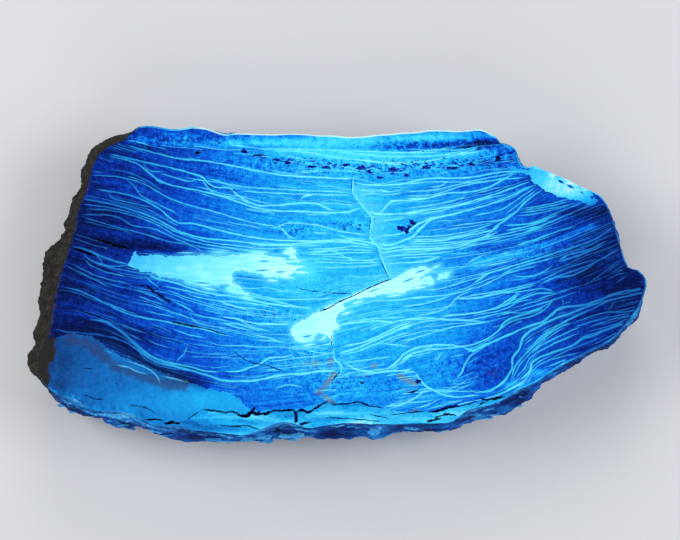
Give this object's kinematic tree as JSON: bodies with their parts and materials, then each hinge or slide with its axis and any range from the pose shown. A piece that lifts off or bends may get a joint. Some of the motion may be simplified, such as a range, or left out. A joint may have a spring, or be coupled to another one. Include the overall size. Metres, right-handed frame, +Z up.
{
  "type": "petrified wood slab",
  "caption": "Slab of petrified wood, sawn along the grain, with a flat polished face, rough broken sides, small cracks and pits, lying on its flat sawn back.",
  "frame": {"origin": "on the surface it rests on, below the middle of the slab", "axes": "+X along the grain towards the pointed end, +Y towards the pale upper rim of the polished face, +Z up out of the polished face"},
  "size_m": [0.1861, 0.0951, 0.026],
  "materials": {
    "fossil_stone": "polished agate-like stone on top, rough and matt on the sides"
  },
  "bodies": {
    "root": {"petrified_wood": "fossil_stone"}
  },
  "joints": []
}
